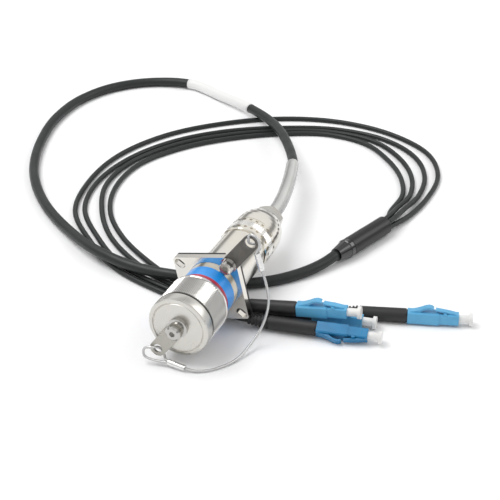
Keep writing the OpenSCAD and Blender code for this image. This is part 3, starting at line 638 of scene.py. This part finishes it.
def dust_cap_mesh():
    """The cap as one closed mesh: a bevelled rim, a real diamond knurl, the relief
    behind the front edge, a lathe-turned face and the bore."""
    bm = bmesh.new()
    knurl_first, knurl_last = knurl(bm, CAP_R, GRIP_START - 0.25, GRIP_END,
        CAP_AROUND, CAP_ROWS, CAP_KNURL_DEPTH)
    rim = [(CAP_BORE, CAP_RIM), (11.55, CAP_RIM), (11.72, CAP_RIM - 0.15),
        (12.95, GRIP_START + 0.55), (13.05, GRIP_START + 0.35),
        (13.05, GRIP_START + 0.1), (12.86, GRIP_START)]
    inner = last = new_ring(bm, CAP_BORE, CAP_FLOOR_Y, CAP_AROUND)
    for r, y in rim:
        now = new_ring(bm, r, y, CAP_AROUND)
        join_rings(bm, last, now, BAND)
        last = now
    join_rings(bm, last, knurl_first, BAND)
    relief_end = GRIP_END - 0.85
    front = [(12.4, GRIP_END - 0.02), (12.4, relief_end), (12.9, GRIP_END - 0.92),
        (13.0, GRIP_END - 1.05), (13.0, CAP_FRONT + 0.8), (12.92, CAP_FRONT + 0.42),
        (12.62, CAP_FRONT + 0.12), (12.2, CAP_FRONT), (FACE_R, CAP_FRONT),
        (FACE_R - 0.2, CAP_FRONT + 0.25), (FACE_R - 0.4, CAP_FRONT + 0.25),
        (FACE_R - 0.6, CAP_FRONT), (8.0, CAP_FRONT), (5.0, CAP_FRONT), (SCREW_R, CAP_FRONT),
        (SCREW_R, CAP_FRONT + SCREW_DEPTH)]
    last = knurl_last
    for r, y in front:
        now = new_ring(bm, r, y, CAP_AROUND)
        join_rings(bm, last, now, RELIEF_SHADE if y >= relief_end else FACE)
        last = now
    for end, y in ((last, CAP_FRONT + SCREW_DEPTH), (inner, CAP_FLOOR_Y)):
        middle = bm.verts.new((0, y * MM, 0))
        for k in range(CAP_AROUND):
            corners = (end[k], end[(k + 1) % CAP_AROUND], middle)
            bm.faces.new(corners).material_index = FACE
    bmesh.ops.recalc_face_normals(bm, faces=bm.faces)
    for f in bm.faces:
        f.smooth = f.material_index != GRIP
    for e in bm.edges:
        if len(e.link_faces) == 2 and e.calc_face_angle() > SPLIT_ANGLE:
            e.smooth = False
    return lying_mesh(bm, "dust_cap_skin")


cap_mesh = dust_cap_mesh()
cap_skin = make_object("dust_cap_skin", cap_mesh, "cap", None, ("dust_cap",),
    smooth_shade=False)
# the fourth look, dark metal, paints shade into the relief groove behind the front edge
for look in (cap_nickel, grip_nickel_pit_shade, band_nickel, dark_metal):
    cap_mesh.materials.append(look.m)


def ring_knurl_mesh():
    """A closed band with a fine knurl, between the coupling ring's two rows of notches."""
    bm = bmesh.new()
    first, last = knurl(bm, RING_R, RING_START, RING_END,
        RING_AROUND, RING_ROWS, RING_KNURL_DEPTH)
    inner_first = new_ring(bm, RING_INNER_R, RING_START, RING_AROUND)
    inner_last = new_ring(bm, RING_INNER_R, RING_END, RING_AROUND)
    for a, b in ((inner_first, first), (last, inner_last), (inner_last, inner_first)):
        join_rings(bm, a, b, 0)
    bmesh.ops.recalc_face_normals(bm, faces=bm.faces)
    for f in bm.faces:
        f.material_index = 0
    return lying_mesh(bm, "coupling_ring_knurl")


make_object("coupling_ring_knurl", ring_knurl_mesh(), "receptacle", ring_nickel_pit_shade.m,
    smooth_shade=False)

# ---------------------------------------------------------------- CAD nodes

looks = {
    "receptacle_shell": nickel, "wide_band": blue_band, "narrow_band": red_band,
    "fibre_insert": insert_grey, "insert_retainer": dark_metal, "termini": terminus,
    "gasket": rubber_black, "rear_body": nickel, "coupling_ring": nickel, "backshell": nickel,
    "cable_grommet": rubber_black, "gland_nut": nickel, "dust_cap": cap_nickel,
    "cap_seal": rubber_black, "cap_post": steel, "cap_screw": steel, "cap_link": cap_link_plate,
    "flange_link": link_plate, "flange_screw": steel, "flange_washer": steel,
    "flange_nut": steel,
    "flange_crimp": crimp, "cap_crimp": crimp, "fanout_cone": black_gloss,
    "fanout_body": black_matte}
for i in (1, 2, 3, 4):
    # plug 2 gets the darker blue as painted shade
    blue = plug_blue_dark if i == 2 else plug_blue
    for part, look in zip(PLUG_PARTS, (boot_black, blue, blue, ceramic_white, cap_white)):
        looks["plug_%d_%s" % (i, part)] = look

PLUG_BEVEL, PLAIN_BEVEL = 0.12, 0.1
bevels = {"receptacle_shell": 0.12, "coupling_ring": 0.08, "backshell": 0.15, "gland_nut": 0.15,
    "rear_body": 0.15, "dust_cap": 0.12, "cap_post": 0.1, "cap_screw": 0.12, "cap_link": 0.12,
    "flange_link": 0.12, "flange_screw": 0.15, "flange_washer": 0.1, "flange_nut": 0.12,
    "flange_crimp": 0.25, "cap_crimp": 0.25, "fanout_cone": 0.3, "fanout_body": 0.25,
    "gasket": 0.08}
for name, look in looks.items():
    ob = nodes[name]
    ob.data.materials.clear()
    ob.data.materials.append(look.m)
    plain = PLUG_BEVEL if name.endswith(("clip", "housing")) else PLAIN_BEVEL
    bevel = ob.modifiers.new("edge", "BEVEL")
    bevel.width = bevels.get(name, plain) * MM
    bevel.segments = 2
    bevel.limit_method = "ANGLE"
    bevel.angle_limit = math.radians(35)
    bevel.harden_normals = False

# ---------------------------------------------------------------- stage and light

FLOOR_GAP = 0.00002     # keeps the floor just under the lowest piece
floor_mesh = bpy.data.meshes.new("floor")
half = 6.0              # metres
corners = [(-half, -half, 0), (half, -half, 0), (half, half, 0), (-half, half, 0)]
floor_mesh.from_pydata(corners, [], [(0, 1, 2, 3)])
floor = bpy.data.objects.new("floor", floor_mesh)
floor.location = (0, 0, FLOOR * MM - FLOOR_GAP)
scene.collection.objects.link(floor)
paper = Surface("paper", (0.93, 0.93, 0.935), 0.7)
paper.mottle(3, (0.925, 0.925, 0.93), 1.0)
floor_mesh.materials.append(paper.m)

# The world: what the camera and clear pieces see, what mirrors see, and what lights
SEEN_LEVEL, SOFT_LEVEL, MIRRORED_LEVEL = 1.0, 0.62, 1.0
world = bpy.data.worlds.new("studio")
scene.world = world
world.use_nodes = True
tree = world.node_tree
tree.nodes.clear()


def background(level):
    n = tree.nodes.new("ShaderNodeBackground")
    n.inputs[0].default_value = (1, 1, 1, 1)
    n.inputs[1].default_value = level
    return n


def mixed(share, first, second):
    n = tree.nodes.new("ShaderNodeMixShader")
    for socket, value in zip(n.inputs, (share, first, second)):
        tree.links.new(value, socket)
    return n.outputs[0]


path = tree.nodes.new("ShaderNodeLightPath")
soft, mirrored = background(SOFT_LEVEL), background(MIRRORED_LEVEL)
seen = background(SEEN_LEVEL)
direction = tree.nodes.new("ShaderNodeTexCoord")
split = tree.nodes.new("ShaderNodeSeparateXYZ")
tree.links.new(direction.outputs["Generated"], split.inputs[0])

# Mirrors see soft bands from the horizon to the top, so that metal has form
sky = tree.nodes.new("ShaderNodeValToRGB")
tree.links.new(split.outputs[2], sky.inputs[0])
sky.color_ramp.interpolation = "EASE"
sky.color_ramp.elements[0].position = 0.0
sky.color_ramp.elements[0].color = (0.9, 0.9, 0.9, 1)
sky.color_ramp.elements[1].position = 1.0
sky.color_ramp.elements[1].color = (0.55, 0.55, 0.56, 1)
for place, tone in ((0.10, 0.35), (0.22, 0.30), (0.36, 0.95), (0.62, 1.0), (0.74, 0.45),
        (0.86, 0.9)):
    element = sky.color_ramp.elements.new(place)
    element.color = (tone, tone, tone, 1)
tree.links.new(sky.outputs[0], mirrored.inputs[0])

any_seen = tree.nodes.new("ShaderNodeMath")
any_seen.operation = "MAXIMUM"
tree.links.new(path.outputs["Is Camera Ray"], any_seen.inputs[0])
tree.links.new(path.outputs["Is Transmission Ray"], any_seen.inputs[1])
shown = mixed(any_seen.outputs[0], soft.outputs[0], seen.outputs[0])
shown = mixed(path.outputs["Is Glossy Ray"], shown, mirrored.outputs[0])
out = tree.nodes.new("ShaderNodeOutputWorld")
tree.links.new(shown, out.inputs[0])


def area_light(name, at, size, size_y, power):
    """A rectangular lamp that is aimed at the middle of the object."""
    data = bpy.data.lights.new(name, "AREA")
    data.shape = "RECTANGLE"
    data.size = size
    data.size_y = size_y
    data.energy = power
    ob = bpy.data.objects.new(name, data)
    ob.location = at
    ob.rotation_euler = (LAMP_AIM - Vector(at)).to_track_quat("-Z", "Y").to_euler()
    scene.collection.objects.link(ob)


LAMP_AIM = Vector((0, 0.03, 0))
KEY_POWER, FILL_POWER = 9.0, 4.0
area_light("key", (-0.5, -0.1, 1.1), 0.9, 0.7, KEY_POWER)
area_light("fill", (0.9, 0.6, 0.8), 0.8, 0.8, FILL_POWER)

scene.view_settings.view_transform = "Standard"
